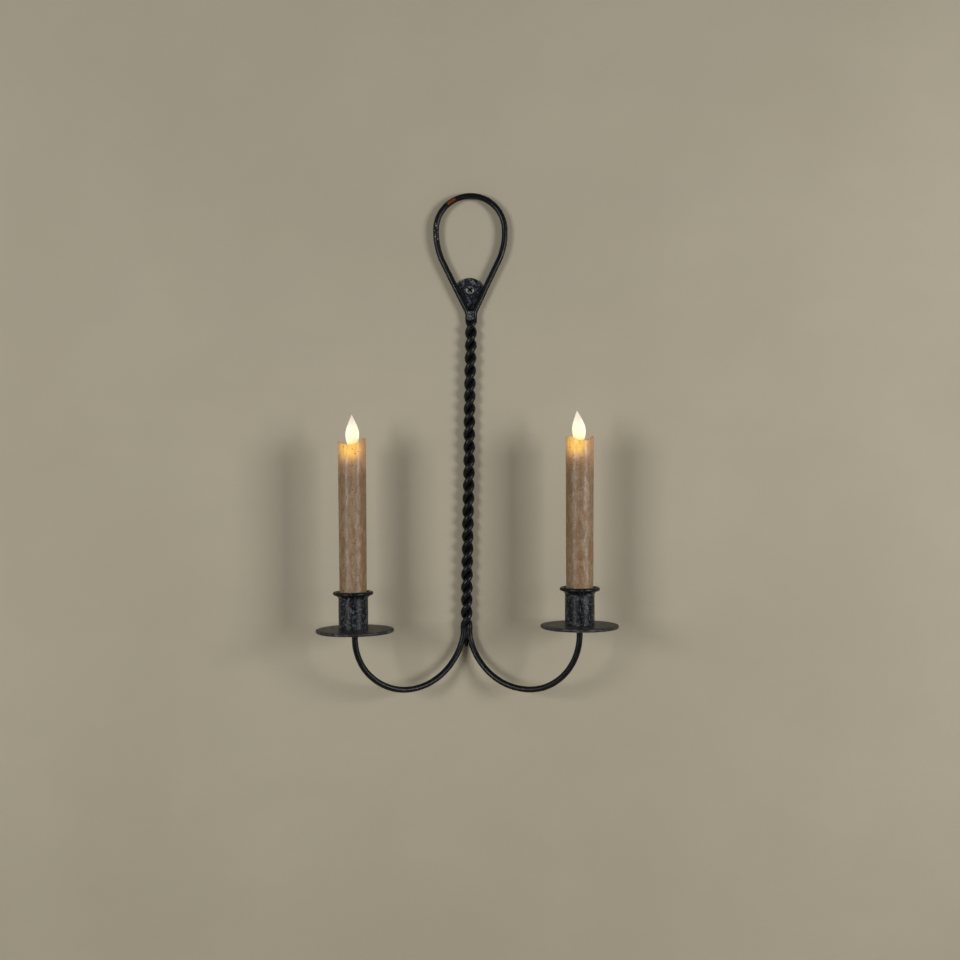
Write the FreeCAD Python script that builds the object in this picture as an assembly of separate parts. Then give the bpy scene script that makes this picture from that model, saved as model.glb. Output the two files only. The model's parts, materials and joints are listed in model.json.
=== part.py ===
import FreeCAD, Part
import math
import os

# Twisted-rod wall sconce with two candle cups and two battery flame tapers.
# Millimetres. Origin: the wall screw's axis on the wall plane. +X right, -Y into the room, +Z up.

# ---- Driving dimensions: rod frame --------------------------------------------------------
rod_radius = 2.4
strand_gap = 0.06                     # air between the two strands of the twist
strand_offset = rod_radius + strand_gap / 2
tab_radius = 10.0
tab_thickness = 2.5
tab_edge_round = 0.4
tab_tongue_radius = 2.6               # rounded end of the tab's tongue, welded into the crotch
tab_tongue_rise = 3.4                 # of that end's centre above the top of the twist
rod_y = -(tab_thickness + rod_radius)  # the rods lie on the tab's front face

loop_top_z = 76.1                     # centreline at the top of the hanging loop
loop_top_radius = 27.9
loop_side_radius = 56.3
loop_leg_angle = 25.9                 # straight legs, from the vertical
loop_lean = 0.4                       # whole loop, towards -X
crotch_radius = 9.0
crotch_run = 2.0                      # straight stretch between the crotch bend and the twist

stem_top = FreeCAD.Vector(0.9, rod_y, -22.9)
twist_turns = 12
twist_pitch = 21.03
twist_height = twist_turns * twist_pitch
stem_lean = 0.84                      # hand-made lean, foot towards -X

fork_run = 4.1                        # straight stretch below the twist
fork_radius = 15.0
fork_angle = 13.4
arm_inner_radius = 50.4
holder_y = -47.0                      # candle axis, in front of the wall

# ---- Driving dimensions: one entry per side --------------------------------------------------
sides = ("left", "right")
holder_x = {"left": -89.0, "right": 85.6}
holder_z = {"left": -270.5, "right": -267.1}    # top face of the drip pan
holder_tilt = {"left": -0.5, "right": 0.0}      # about +Y, negative leans the candle to -X
cup_shift = {"left": -1.1, "right": 0.1}        # cup and candle off the pan's centre
flame_tilt = {"left": 0.0, "right": -4.5}       # about +Y at the flame's wire
rim_dip_x = {"left": -1.6, "right": 1.4}        # where the wax rim dips, off the candle's axis
rim_dip_radius = {"left": 15.0, "right": 11.8}

# ---- Driving dimensions: holder ------------------------------------------------------------
pan_radius = 30.3
pan_thickness = 2.7
pan_edge_round = 0.9
cup_outer_radius = 11.5
cup_wall = 0.5
cup_flare_z = 24.2
cup_flare_radius = 2.18               # tangent to the wall, seen in the outline
cup_flare_angle = 70.0
rim_wire_radius = 1.5
rim_ring_radius = 14.15
rim_ring_z = 27.5
seam_gap = 0.3
pan_screw_radius = 1.5
pan_screw_head_radius = 3.0
pan_screw_reach = 8.0
pan_screw_point = 0.5
pan_screw_slot_half = 0.35
pan_screw_slot_depth = 0.8
pan_screw_clearance = 0.1
tapped_clearance = 0.05

# ---- Driving dimensions: wall screw ----------------------------------------------------------
screw_head_radius = 4.1
screw_head_dome = 0.8
screw_shank_radius = 2.1
screw_neck_radius = 1.9
screw_shank_length = 12.0
screw_shank_taper = 0.6
screw_clearance = 0.2
screw_thread_radius = 2.0
screw_core_radius = 1.4
screw_thread_pitch = 1.8
screw_thread_turns = 12
thread_root = 0.5                     # flat of the core above each ridge
thread_flank = 0.4
thread_crest = 0.1
screw_tip_length = 4.0
cross_half_length = 2.2
cross_half_width = 0.45
cross_depth = 1.3
cross_floor_radius = 0.4
cross_mouth_radius = 2.6

# ---- Driving dimensions: flame taper, heights above the pan's top face -----------------------
wax_bottom_radius = 10.55
wax_top_radius = 10.9
wax_bore_radius = 8.9
wax_bottom_z = 8.2
wax_peak_z = 148.0
rim_slope = 6.0                       # degrees, the rim is higher at +X
rim_dip = 5.4

core_outer_radius = 8.8
core_inner_radius = 7.7
core_top_z = 107.0
cap_radius = 10.4
cap_height = 8.0
cap_foot_radius = 8.9
cap_floor_z = 2.5
cap_floor_thickness = 1.5
spigot_outer_radius = 7.4
spigot_inner_radius = 6.2
spigot_top_z = 12.5
lug_radius = 8.2
lug_z = 10.2
lug_height = 1.3
lug_half_angle = 8.0
lug_room_angle = 1.5
lug_clearance = 0.3
lug_root = 0.5                        # how far a lug reaches into the spigot's wall
cap_turn = 30.0                       # bayonet travel

battery_radius = 5.25
battery_length = 44.5
nub_radius = 1.9
nub_height = 1.0
battery_base_z = 14.5
carrier_outer_radius = 7.5
carrier_inner_radius = 5.45
carrier_overhang = 1.0                # below the lower cell
carrier_mouth_y = -1.5
carrier_roof_y = -5.5
contact_radius = 4.0
contact_thickness = 0.5
strip_half_width = 1.25
strip_front_y = -6.6
strip_thickness = 0.4
strip_clearance = 0.2
board_thickness = 1.0
board_z = 105.7
board_clearance = 0.1
bobbin_core_radius = 2.0
bobbin_flange_radius = 4.4
bobbin_flange = 1.0
bobbin_length = 11.0
winding_radius = 4.1
winding_clearance = 0.05
led_x = 5.6
led_radius = 1.45
led_low_z = 128.0
led_high_z = 133.0                    # where its round end begins
lead_radius = 0.25
lead_half_gap = 0.6
lead_overlap = 0.5
flame_pivot_z = 138.0
flame_tip_z = 166.0
flame_wide_z = 151.2
flame_half_width = 5.3
flame_thickness = 3.0
flame_shoulder_rise = 3.0             # blade's flat foot above the wire
flame_shoulder_half = 2.4
flame_low_share = 0.86                # share of the half width halfway up to the widest place
flame_high_share = 0.62
flame_high_z = 159.2
flame_tip_half = 0.25
tail_half_width = 1.8
tail_half_thickness = 0.7
tail_overlap = 1.5
flame_wire_radius = 0.3
wire_set_back = 0.3                   # of the wire's ends inside the holder's wall
wire_fit = 0.02
flame_hole_clearance = 0.08
holder_inner_radius = 7.2
holder_top_z = 140.5
holder_clearance = 0.2
magnet_radius = 2.0
magnet_length = 4.0
magnet_top_z = 126.0

switch_travel = 2.5
knob_half = 1.0
knob_drop = 1.3                       # of the knob below the cap's floor
knob_root = 0.5
slider_half = 1.5
slider_thickness = 1.6
slider_clearance = 0.15
slider_lift = 0.05
slider_room = 2.0
switch_case_half = 4.0
switch_case_height = 4.0
spring_plate_radius = 5.0
spring_plate_thickness = 0.4
spring_wire_radius = 0.3
spring_coil_radius = 3.5
spring_pitch = 1.25
spring_sink = 0.1                     # of the coil's first turn in its plate
spring_gap = 0.2                      # between the coil and the lower cell

X_AXIS = FreeCAD.Vector(1, 0, 0)
Y_AXIS = FreeCAD.Vector(0, 1, 0)
Z_AXIS = FreeCAD.Vector(0, 0, 1)
ORIGIN = FreeCAD.Vector(0, 0, 0)
beyond = 40.0                         # cutting tools reach this far past the part


# ---- Small helpers ---------------------------------------------------------------------------
def save(node, shape):
    """Write one sub-part; a shape with one solid is written as that solid."""
    if len(shape.Solids) == 1:
        shape = shape.Solids[0]
    shape.exportStep("parts/" + node + ".step")


def cylinder(radius, z_low, z_high, x=0.0, y=0.0):
    return Part.makeCylinder(radius, z_high - z_low, FreeCAD.Vector(x, y, z_low))


def tube(outer, inner, z_low, z_high):
    return cylinder(outer, z_low, z_high).cut(cylinder(inner, z_low - 1, z_high + 1))


def block(x_low, x_high, y_low, y_high, z_low, z_high):
    corner = FreeCAD.Vector(x_low, y_low, z_low)
    return Part.makeBox(x_high - x_low, y_high - y_low, z_high - z_low, corner)


def bore(radius, z, x=0.0):
    """Cutter for a round hole from front to back at a height."""
    return Part.makeCylinder(radius, 2 * beyond, FreeCAD.Vector(x, -beyond, z), Y_AXIS)


def turned(edges, angle=360):
    """Solid of revolution about Z from a closed outline of edges in the XZ plane."""
    return Part.Face(Part.Wire(edges)).revolve(ORIGIN, Z_AXIS, angle)


def outline(points):
    """Closed straight-sided outline in the XZ plane from (radius, z) points."""
    corners = [FreeCAD.Vector(r, 0, z) for r, z in points]
    corners.append(corners[0])
    return Part.makePolygon(corners).Edges


def arc_about(centre_r, centre_z, radius, angle_low, angle_high):
    """Arc in the XZ plane about a centre, from one angle to another, in degrees from +X."""
    ends = []
    for angle in (angle_low, (angle_low + angle_high) / 2, angle_high):
        turn = math.radians(angle)
        ends.append(FreeCAD.Vector(centre_r + radius * math.cos(turn), 0,
                                   centre_z + radius * math.sin(turn)))
    return Part.Arc(*ends).toShape()


def joined(pieces):
    """Closed outline from pieces in order, with straight lines across the gaps."""
    edges = []
    for piece, following in zip(pieces, pieces[1:] + pieces[:1]):
        edges.append(piece)
        end = piece.lastVertex(True).Point
        start = following.firstVertex(True).Point
        if end.distanceToPoint(start) > 1e-6:
            edges.append(Part.LineSegment(end, start).toShape())
    return edges


def line(r_start, z_start, r_end, z_end):
    """Straight edge in the XZ plane."""
    start = FreeCAD.Vector(r_start, 0, z_start)
    return Part.LineSegment(start, FreeCAD.Vector(r_end, 0, z_end)).toShape()


def flat_path(start, along, heading, moves):
    """Wire of straight runs and tangent bends in the upright plane through start and along.

    heading is in degrees above the horizontal. A move is (length,) for a run, or
    (radius, turn) for a bend, with the turn in degrees and positive to the left.
    """
    def place(s, z):
        return start + along * s + Z_AXIS * z

    edges = []
    s, z = 0.0, 0.0
    for move in moves:
        here = math.radians(heading)
        if len(move) == 1:
            s_next = s + move[0] * math.cos(here)
            z_next = z + move[0] * math.sin(here)
            edges.append(Part.LineSegment(place(s, z), place(s_next, z_next)).toShape())
        else:
            radius, turn = move
            side = math.copysign(1, turn)
            s_centre = s - side * radius * math.sin(here)
            z_centre = z + side * radius * math.cos(here)

            def on_bend(part):
                angle = here + math.radians(turn * part)
                return (s_centre + side * radius * math.sin(angle),
                        z_centre - side * radius * math.cos(angle))

            s_next, z_next = on_bend(1)
            bend = Part.Arc(place(s, z), place(*on_bend(0.5)), place(s_next, z_next))
            edges.append(bend.toShape())
            heading += turn
        s, z = s_next, z_next
    return Part.Wire(edges)


def rod_along(path, radius):
    """Round rod swept along a wire."""
    first = path.OrderedEdges[0]
    start = first.valueAt(first.FirstParameter)
    direction = first.tangentAt(first.FirstParameter)
    profile = Part.Wire(Part.makeCircle(radius, start, direction))
    return path.makePipeShell([profile], True, False)


def helix_rod(pitch, height, coil_radius, wire_radius):
    """Round wire wound right-handed about Z, starting at +X."""
    path = Part.Wire(Part.makeHelix(pitch, height, coil_radius))
    slope = FreeCAD.Vector(0, 2 * math.pi * coil_radius, pitch)
    start = FreeCAD.Vector(coil_radius, 0, 0)
    profile = Part.Wire(Part.makeCircle(wire_radius, start, slope))
    return path.makePipeShell([profile], True, True)


# ---- Rod frame -------------------------------------------------------------------------------
def hanging_loop():
    """Teardrop loop: two legs, two side arcs and a round top, all tangent."""
    lean = math.radians(loop_leg_angle)
    leg_x = strand_offset + crotch_radius * (1 - math.cos(lean))
    leg_z = stem_top.z + crotch_run + crotch_radius * math.sin(lean)
    # Distance from the top arc's centre to the leg's line sets where the side arc ends.
    centre_z = loop_top_z - loop_top_radius
    reach = leg_x * math.cos(lean) + (centre_z - leg_z) * math.sin(lean)
    radius_step = loop_side_radius - loop_top_radius
    join = math.acos((loop_side_radius - reach) / radius_step) - lean
    side_turn = math.degrees(join) + loop_leg_angle
    # Where the side arc meets the leg, seen along the leg.
    centre_x = -radius_step * math.cos(join)
    side_z = centre_z - radius_step * math.sin(join)
    leg_run = (centre_x - leg_x) * math.sin(lean) + (side_z - leg_z) * math.cos(lean)
    half_top = 90 - math.degrees(join)
    moves = [(crotch_run,), (crotch_radius, -loop_leg_angle), (leg_run,),
             (loop_side_radius, side_turn), (loop_top_radius, 2 * half_top),
             (loop_side_radius, side_turn), (leg_run,), (crotch_radius, -loop_leg_angle),
             (crotch_run,)]
    start = FreeCAD.Vector(stem_top.x + strand_offset, rod_y, stem_top.z)
    rod = rod_along(flat_path(start, X_AXIS, 90, moves), rod_radius)
    rod.rotate(stem_top, Y_AXIS, -loop_lean)
    return rod


def twist_strand(start_angle):
    """One strand of the twist, cut square at both ends."""
    overrun = twist_pitch / 6
    strand = helix_rod(twist_pitch, twist_height + 2 * overrun, strand_offset, rod_radius)
    strand.rotate(ORIGIN, Z_AXIS, start_angle - 360 * overrun / twist_pitch)
    strand.translate(FreeCAD.Vector(0, 0, -overrun))
    keep = cylinder(4 * rod_radius, 0, twist_height)
    strand = strand.common(keep)
    strand.translate(stem_top - Z_AXIS * twist_height)
    strand.rotate(stem_top, Y_AXIS, stem_lean)
    return strand


def stem_foot():
    """Centre of the twist's lower end."""
    lean = math.radians(stem_lean)
    return stem_top - FreeCAD.Vector(math.sin(lean), 0, math.cos(lean)) * twist_height


def arm(side):
    """Arm from the twist's foot down, forward and up to the underside of the pan."""
    sign = -1 if side == "left" else 1
    start = stem_foot() + X_AXIS * (sign * strand_offset)
    across = FreeCAD.Vector(holder_x[side] - start.x, holder_y - start.y, 0)
    reach = across.Length
    across.normalize()
    fork = math.radians(fork_angle)
    outer_radius = reach - fork_radius * (1 - math.cos(fork)) - arm_inner_radius * math.cos(fork)
    lowest = (start.z - fork_run - fork_radius * math.sin(fork)
              - arm_inner_radius * (1 - math.sin(fork)))
    spare = 1.0                       # cut off again along the pan's tilted underside
    riser = holder_z[side] - pan_thickness - (lowest + outer_radius) + spare
    moves = [(fork_run,), (fork_radius, fork_angle), (arm_inner_radius, 90 - fork_angle),
             (outer_radius, 90), (riser,)]
    rod = rod_along(flat_path(start, across, -90, moves), rod_radius)
    tapped = cylinder(pan_screw_radius + tapped_clearance, -pan_thickness - pan_screw_reach - 1, 0)
    above_pan = cylinder(3 * rod_radius, -pan_thickness, beyond)
    return rod.cut(to_holder(tapped.fuse(above_pan), side, on_cup_axis=False))


def tab_outline():
    """Round head and a tongue that narrows down into the crotch, as one outline on the wall plane."""
    tongue = FreeCAD.Vector(stem_top.x, 0, stem_top.z + tab_tongue_rise)
    taper = math.asin((tab_radius - tab_tongue_radius) / tongue.Length)
    down = math.atan2(tongue.z, tongue.x)

    def toward(turn):
        return FreeCAD.Vector(math.cos(down + turn), 0, math.sin(down + turn))

    side = math.pi / 2 - taper
    head = Part.Arc(*[toward(turn) * tab_radius for turn in (side, math.pi, -side)]).toShape()
    foot = Part.Arc(*[tongue + toward(turn) * tab_tongue_radius for turn in (-side, 0, side)])
    return Part.Wire(joined([head, foot.toShape()]))


def hanger_tab():
    """Tab behind the loop's legs, countersunk for the wall screw."""
    tab = Part.Face(tab_outline()).extrude(Y_AXIS * -tab_thickness)
    front = [edge for edge in tab.Edges
             if edge.BoundBox.YMax < -tab_thickness + 0.01]
    tab = tab.makeFillet(tab_edge_round, front)
    depth = screw_head_radius - screw_neck_radius
    sink = Part.makeCone(screw_neck_radius + screw_clearance, screw_head_radius + screw_clearance,
                         depth, FreeCAD.Vector(0, depth - tab_thickness, 0), -Y_AXIS)
    return tab.cut(bore(screw_neck_radius + screw_clearance, 0)).cut(sink)


def wall_screw():
    """Oval-head cross-recess screw; the smooth shank starts at the wall plane."""
    face = tab_thickness
    dome_radius = (screw_head_radius ** 2 + screw_head_dome ** 2) / (2 * screw_head_dome)
    edge_angle = math.degrees(math.acos(screw_head_radius / dome_radius))
    dome = arc_about(0, face + screw_head_dome - dome_radius, dome_radius, 90, edge_angle)
    ridge_z = -screw_shank_length - screw_shank_taper
    points = [(screw_neck_radius, face - screw_head_radius + screw_neck_radius),
              (screw_neck_radius, 0), (screw_shank_radius, 0),
              (screw_shank_radius, -screw_shank_length), (screw_core_radius, ridge_z)]
    for _ in range(screw_thread_turns):
        z = ridge_z - thread_root
        points.append((screw_core_radius, z))
        points.append((screw_thread_radius, z - thread_flank))
        points.append((screw_thread_radius, z - thread_flank - thread_crest))
        points.append((screw_core_radius, z - 2 * thread_flank - thread_crest))
        ridge_z -= screw_thread_pitch
    points.append((0, ridge_z - screw_tip_length))
    below_head = [line(*start, *end) for start, end in zip(points, points[1:])]
    screw = turned(joined([dome] + below_head))
    floor = face - cross_depth
    slot = block(-cross_half_length, cross_half_length, -cross_half_width, cross_half_width,
                 floor, face + beyond)
    cross = slot.fuse(slot.rotated(ORIGIN, Z_AXIS, 90))
    cross = cross.common(Part.makeCone(cross_floor_radius, cross_mouth_radius, 2 * cross_depth,
                                       FreeCAD.Vector(0, 0, floor)))
    screw = screw.cut(cross.rotated(ORIGIN, Z_AXIS, 45))
    screw.rotate(ORIGIN, X_AXIS, 90)
    return screw


# ---- Holder: pan, cup, rim, screw, in the holder's own frame ----------------------------------
def drip_pan():
    """Flat disc with a rounded edge, countersunk in the middle."""
    pan = cylinder(pan_radius, -pan_thickness, 0)
    pan = pan.makeFillet(pan_edge_round, [edge for edge in pan.Edges if edge.Closed])
    hole = cylinder(pan_screw_radius + pan_screw_clearance, -pan_thickness - 1, 1)
    depth = pan_screw_head_radius - pan_screw_radius
    sink = Part.makeCone(pan_screw_radius + pan_screw_clearance,
                         pan_screw_head_radius + pan_screw_clearance, depth, Z_AXIS * -depth)
    return pan.cut(hole).cut(sink)


def pan_screw():
    """Flat-head screw that holds the pan on the arm's tapped end."""
    depth = pan_screw_head_radius - pan_screw_radius
    foot = -pan_thickness - pan_screw_reach
    screw = turned(outline([(0, 0), (pan_screw_head_radius, 0), (pan_screw_radius, -depth),
                            (pan_screw_radius, foot + pan_screw_point),
                            (pan_screw_radius - pan_screw_point, foot), (0, foot)]))
    return screw.cut(block(-pan_screw_head_radius, pan_screw_head_radius, -pan_screw_slot_half,
                           pan_screw_slot_half, -pan_screw_slot_depth, 1))


def seam_cutter(radius):
    """Narrow upright gap through the front of a round piece."""
    return block(-seam_gap / 2, seam_gap / 2, -2 * radius, 0, -1, beyond)


def candle_cup():
    """Rolled sheet wall with a flared mouth and a butt seam at the front."""
    inner = cup_outer_radius - cup_wall
    bend_r = cup_outer_radius + cup_flare_radius
    last = 180 - cup_flare_angle
    outside = arc_about(bend_r, cup_flare_z, cup_flare_radius, last, 180)
    inside = arc_about(bend_r, cup_flare_z, cup_flare_radius + cup_wall, 180, last)
    wall = turned(joined([outside, line(cup_outer_radius, 0, inner, 0), inside]))
    return wall.cut(seam_cutter(cup_outer_radius))


def cup_rim():
    """Wire ring on the flare, butt-jointed at the front."""
    ring = Part.makeTorus(rim_ring_radius, rim_wire_radius)
    ring.translate(Z_AXIS * rim_ring_z)
    return ring.cut(seam_cutter(rim_ring_radius))


# ---- Taper body, in the holder's own frame -----------------------------------------------------
def wax_sleeve(side):
    """Hollow wax taper with a sloping rim that dips at the front and back."""
    height = wax_peak_z - wax_bottom_z
    wax = Part.makeCone(wax_bottom_radius, wax_top_radius, height, Z_AXIS * wax_bottom_z)
    wax = wax.cut(cylinder(wax_bore_radius, 0, wax_peak_z + 1))
    above = block(-beyond, beyond, -beyond, beyond, 0, beyond)
    above.rotate(ORIGIN, Y_AXIS, -rim_slope)
    above.translate(FreeCAD.Vector(wax_top_radius, 0, wax_peak_z))
    radius = rim_dip_radius[side]
    return wax.cut(above).cut(bore(radius, wax_peak_z - rim_dip + radius, rim_dip_x[side]))


def ring_sector(outer, inner, z_low, z_high, angle_low, angle_high):
    """Part of a ring between two angles about Z."""
    points = [(inner, z_low), (outer, z_low), (outer, z_high), (inner, z_high)]
    return turned(outline(points), angle_high - angle_low).rotated(ORIGIN, Z_AXIS, angle_low)


def core_tube():
    """Plastic tube inside the wax, with two bayonet slots at its foot."""
    body = tube(core_outer_radius, core_inner_radius, wax_bottom_z, core_top_z)
    half = lug_half_angle + lug_room_angle
    outer = lug_radius + lug_clearance
    inner = core_inner_radius - lug_clearance
    low = lug_z - lug_clearance
    high = lug_z + lug_height + lug_clearance
    for base in (0, 180):
        last = base + cap_turn + half
        run = ring_sector(outer, inner, low, high, base - half, last)
        way_in = ring_sector(outer, inner, 0, high, last - 2 * half, last)
        body = body.cut(run).cut(way_in)
    return body


def battery_carrier():
    """Half-round tray that holds both cells, open to the front, closed at the top."""
    low = battery_base_z - carrier_overhang
    top = battery_base_z + 2 * battery_length + contact_thickness
    shell = tube(carrier_outer_radius, carrier_inner_radius, low, top)
    mouth = block(-beyond, beyond, -beyond, carrier_mouth_y, 0, top + beyond)
    roof = cylinder(carrier_outer_radius, top, board_z - board_clearance)
    for_strip = block(-beyond, beyond, -beyond, carrier_roof_y, 0, top + beyond)
    return shell.cut(mouth).fuse(roof.cut(for_strip))


def battery(z_low):
    """One slim cell with its contact nub."""
    shoulder = z_low + battery_length - nub_height
    body = cylinder(battery_radius, z_low, shoulder)
    nub = cylinder(nub_radius, shoulder - nub_height, z_low + battery_length)
    return body.fuse(nub).removeSplitter()


def top_contact():
    """Brass plate between the upper cell and the carrier's roof."""
    low = battery_base_z + 2 * battery_length
    return cylinder(contact_radius, low, low + contact_thickness)


def return_strip():
    """Flat conductor down the carrier's open side."""
    return block(-strip_half_width, strip_half_width, strip_front_y, strip_front_y + strip_thickness,
                 spigot_top_z + strip_clearance, board_z)


def circuit_board():
    """Round board across the top of the core tube."""
    return cylinder(core_inner_radius - board_clearance, board_z, board_z + board_thickness)


def coil_bobbin():
    """Spool that carries the drive coil under the flame's magnet."""
    low = board_z + board_thickness
    high = low + bobbin_length
    spool = cylinder(bobbin_core_radius, low, high)
    spool = spool.fuse(cylinder(bobbin_flange_radius, low, low + bobbin_flange))
    spool = spool.fuse(cylinder(bobbin_flange_radius, high - bobbin_flange, high))
    return spool.removeSplitter()


def coil_winding():
    """Copper winding between the spool's flanges."""
    low = board_z + board_thickness + bobbin_flange + winding_clearance
    length = bobbin_length - 2 * (bobbin_flange + winding_clearance)
    return tube(winding_radius, bobbin_core_radius + winding_clearance, low, low + length)


def led():
    """Lamp on two leads beside the coil."""
    lamp = cylinder(led_radius, led_low_z, led_high_z, x=led_x)
    lamp = lamp.fuse(Part.makeSphere(led_radius, FreeCAD.Vector(led_x, 0, led_high_z)))
    for y in (-lead_half_gap, lead_half_gap):
        lead = cylinder(lead_radius, board_z + board_thickness, led_low_z + lead_overlap, x=led_x, y=y)
        lamp = lamp.fuse(lead)
    return lamp.removeSplitter()


def flame_holder():
    """Tube in the top of the wax that carries the flame's wire."""
    body = tube(core_outer_radius, holder_inner_radius, core_top_z + holder_clearance, holder_top_z)
    return body.cut(bore(flame_wire_radius + wire_fit, flame_pivot_z))


def flame_wire():
    """Thin wire, front to back, that the flame hangs on."""
    half = core_outer_radius - wire_set_back
    start = FreeCAD.Vector(0, -half, flame_pivot_z)
    return Part.makeCylinder(flame_wire_radius, 2 * half, start, Y_AXIS)


def flame():
    """Flame-shaped blade with a tail; the tail hangs through the wire's loop hole."""
    shoulder_z = flame_pivot_z + flame_shoulder_rise
    low_z = (shoulder_z + flame_wide_z) / 2 - 1
    right = Part.BSplineCurve()
    right.interpolate([FreeCAD.Vector(flame_shoulder_half, 0, shoulder_z),
                       FreeCAD.Vector(flame_half_width * flame_low_share, 0, low_z),
                       FreeCAD.Vector(flame_half_width, 0, flame_wide_z),
                       FreeCAD.Vector(flame_half_width * flame_high_share, 0, flame_high_z),
                       FreeCAD.Vector(flame_tip_half, 0, flame_tip_z)])
    middle_line = line(0, flame_tip_z, 0, shoulder_z)
    blade = turned(joined([right.toShape(), middle_line]))
    squash = FreeCAD.Matrix()
    squash.scale(1, flame_thickness / (2 * flame_half_width), 1)
    blade = blade.transformGeometry(squash)
    tail = block(-tail_half_width, tail_half_width, -tail_half_thickness, tail_half_thickness,
                 magnet_top_z, shoulder_z + tail_overlap)
    return blade.fuse(tail).cut(bore(flame_wire_radius + flame_hole_clearance, flame_pivot_z))


def flame_magnet():
    """Magnet under the tail, pushed by the coil."""
    return cylinder(magnet_radius, magnet_top_z - magnet_length, magnet_top_z)


def base_cap():
    """Twist-off cap: foot ring, floor with the switch slot, spigot with two lugs."""
    floor_top = cap_floor_z + cap_floor_thickness
    body = turned(outline([(0, cap_floor_z), (cap_foot_radius, cap_floor_z), (cap_foot_radius, 0),
                           (cap_radius, 0), (cap_radius, cap_height),
                           (spigot_outer_radius, cap_height), (spigot_outer_radius, spigot_top_z),
                           (spigot_inner_radius, spigot_top_z), (spigot_inner_radius, floor_top),
                           (0, floor_top)]))
    half_slot = switch_travel / 2 + knob_half + slider_clearance
    width = knob_half + slider_clearance
    body = body.cut(block(-width, width, -half_slot, half_slot, cap_floor_z - 1, floor_top + 1))
    for base in (0, 180):
        lug = ring_sector(lug_radius, spigot_outer_radius - lug_root, lug_z, lug_z + lug_height,
                          base - lug_half_angle, base + lug_half_angle)
        body = body.fuse(lug)
    return body.removeSplitter()


def switch_body():
    """Slide-switch case on the cap's floor, with room for the slider's plate."""
    low = cap_floor_z + cap_floor_thickness
    width = slider_half + slider_clearance
    length = switch_travel / 2 + slider_half + slider_clearance
    case = block(-switch_case_half, switch_case_half, -switch_case_half, switch_case_half,
                 low, low + switch_case_height)
    return case.cut(block(-width, width, -length, length, low - 1, low + slider_room))


def switch_slider():
    """Slider in its on position, at +Y of its slot."""
    low = cap_floor_z + cap_floor_thickness + slider_lift
    y = switch_travel / 2
    plate = block(-slider_half, slider_half, y - slider_half, y + slider_half,
                  low, low + slider_thickness)
    knob = block(-knob_half, knob_half, y - knob_half, y + knob_half,
                 cap_floor_z - knob_drop, low + knob_root)
    return plate.fuse(knob).removeSplitter()


def contact_spring():
    """Coil spring on a round contact plate, pressing on the lower cell."""
    low = cap_floor_z + cap_floor_thickness + switch_case_height
    plate_top = low + spring_plate_thickness
    plate = cylinder(spring_plate_radius, low, plate_top)
    first_z = plate_top + spring_wire_radius - spring_sink
    last_z = battery_base_z - spring_gap - spring_wire_radius
    coil = helix_rod(spring_pitch, last_z - first_z, spring_coil_radius, spring_wire_radius)
    coil.translate(Z_AXIS * first_z)
    return plate.fuse(coil)


# ---- Assembly ---------------------------------------------------------------------------------
def to_holder(shape, side, on_cup_axis=True):
    """Move a shape from the holder's own frame to its place on the arm."""
    placed = shape.copy()
    if on_cup_axis:
        placed.translate(X_AXIS * cup_shift[side])
    placed.rotate(ORIGIN, Y_AXIS, holder_tilt[side])
    placed.translate(FreeCAD.Vector(holder_x[side], holder_y, holder_z[side]))
    return placed


def swayed(shape, side):
    """Tilt a flame piece about its wire."""
    return shape.rotated(FreeCAD.Vector(0, 0, flame_pivot_z), Y_AXIS, flame_tilt[side])


def build_frame():
    save("hanging_loop", hanging_loop())
    save("twist_strand_right", twist_strand(0))
    save("twist_strand_left", twist_strand(180))
    save("hanger_tab", hanger_tab())
    save("wall_screw", wall_screw())
    for side in sides:
        save(side + "_arm", arm(side))


def build_side(side):
    save(side + "_drip_pan", to_holder(drip_pan(), side, on_cup_axis=False))
    save(side + "_pan_screw", to_holder(pan_screw(), side, on_cup_axis=False))
    upper_z = battery_base_z + battery_length
    pieces = {
        "candle_cup": candle_cup(), "cup_rim": cup_rim(), "wax_sleeve": wax_sleeve(side),
        "core_tube": core_tube(), "battery_carrier": battery_carrier(),
        "lower_battery": battery(battery_base_z), "upper_battery": battery(upper_z),
        "top_contact": top_contact(), "return_strip": return_strip(),
        "circuit_board": circuit_board(), "coil_bobbin": coil_bobbin(),
        "coil_winding": coil_winding(), "led": led(), "flame_holder": flame_holder(),
        "flame_wire": flame_wire(), "flame": swayed(flame(), side),
        "flame_magnet": swayed(flame_magnet(), side), "base_cap": base_cap(),
        "switch_body": switch_body(), "contact_spring": contact_spring(),
        "switch_slider": switch_slider(),
    }
    for name, shape in pieces.items():
        save(side + "_" + name, to_holder(shape, side))


os.makedirs("parts", exist_ok=True)
build_frame()
for each_side in sides:
    build_side(each_side)
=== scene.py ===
import json
import math

import bmesh
import bpy
from mathutils import Matrix, Vector, noise
from mathutils.geometry import interpolate_bezier


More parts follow.
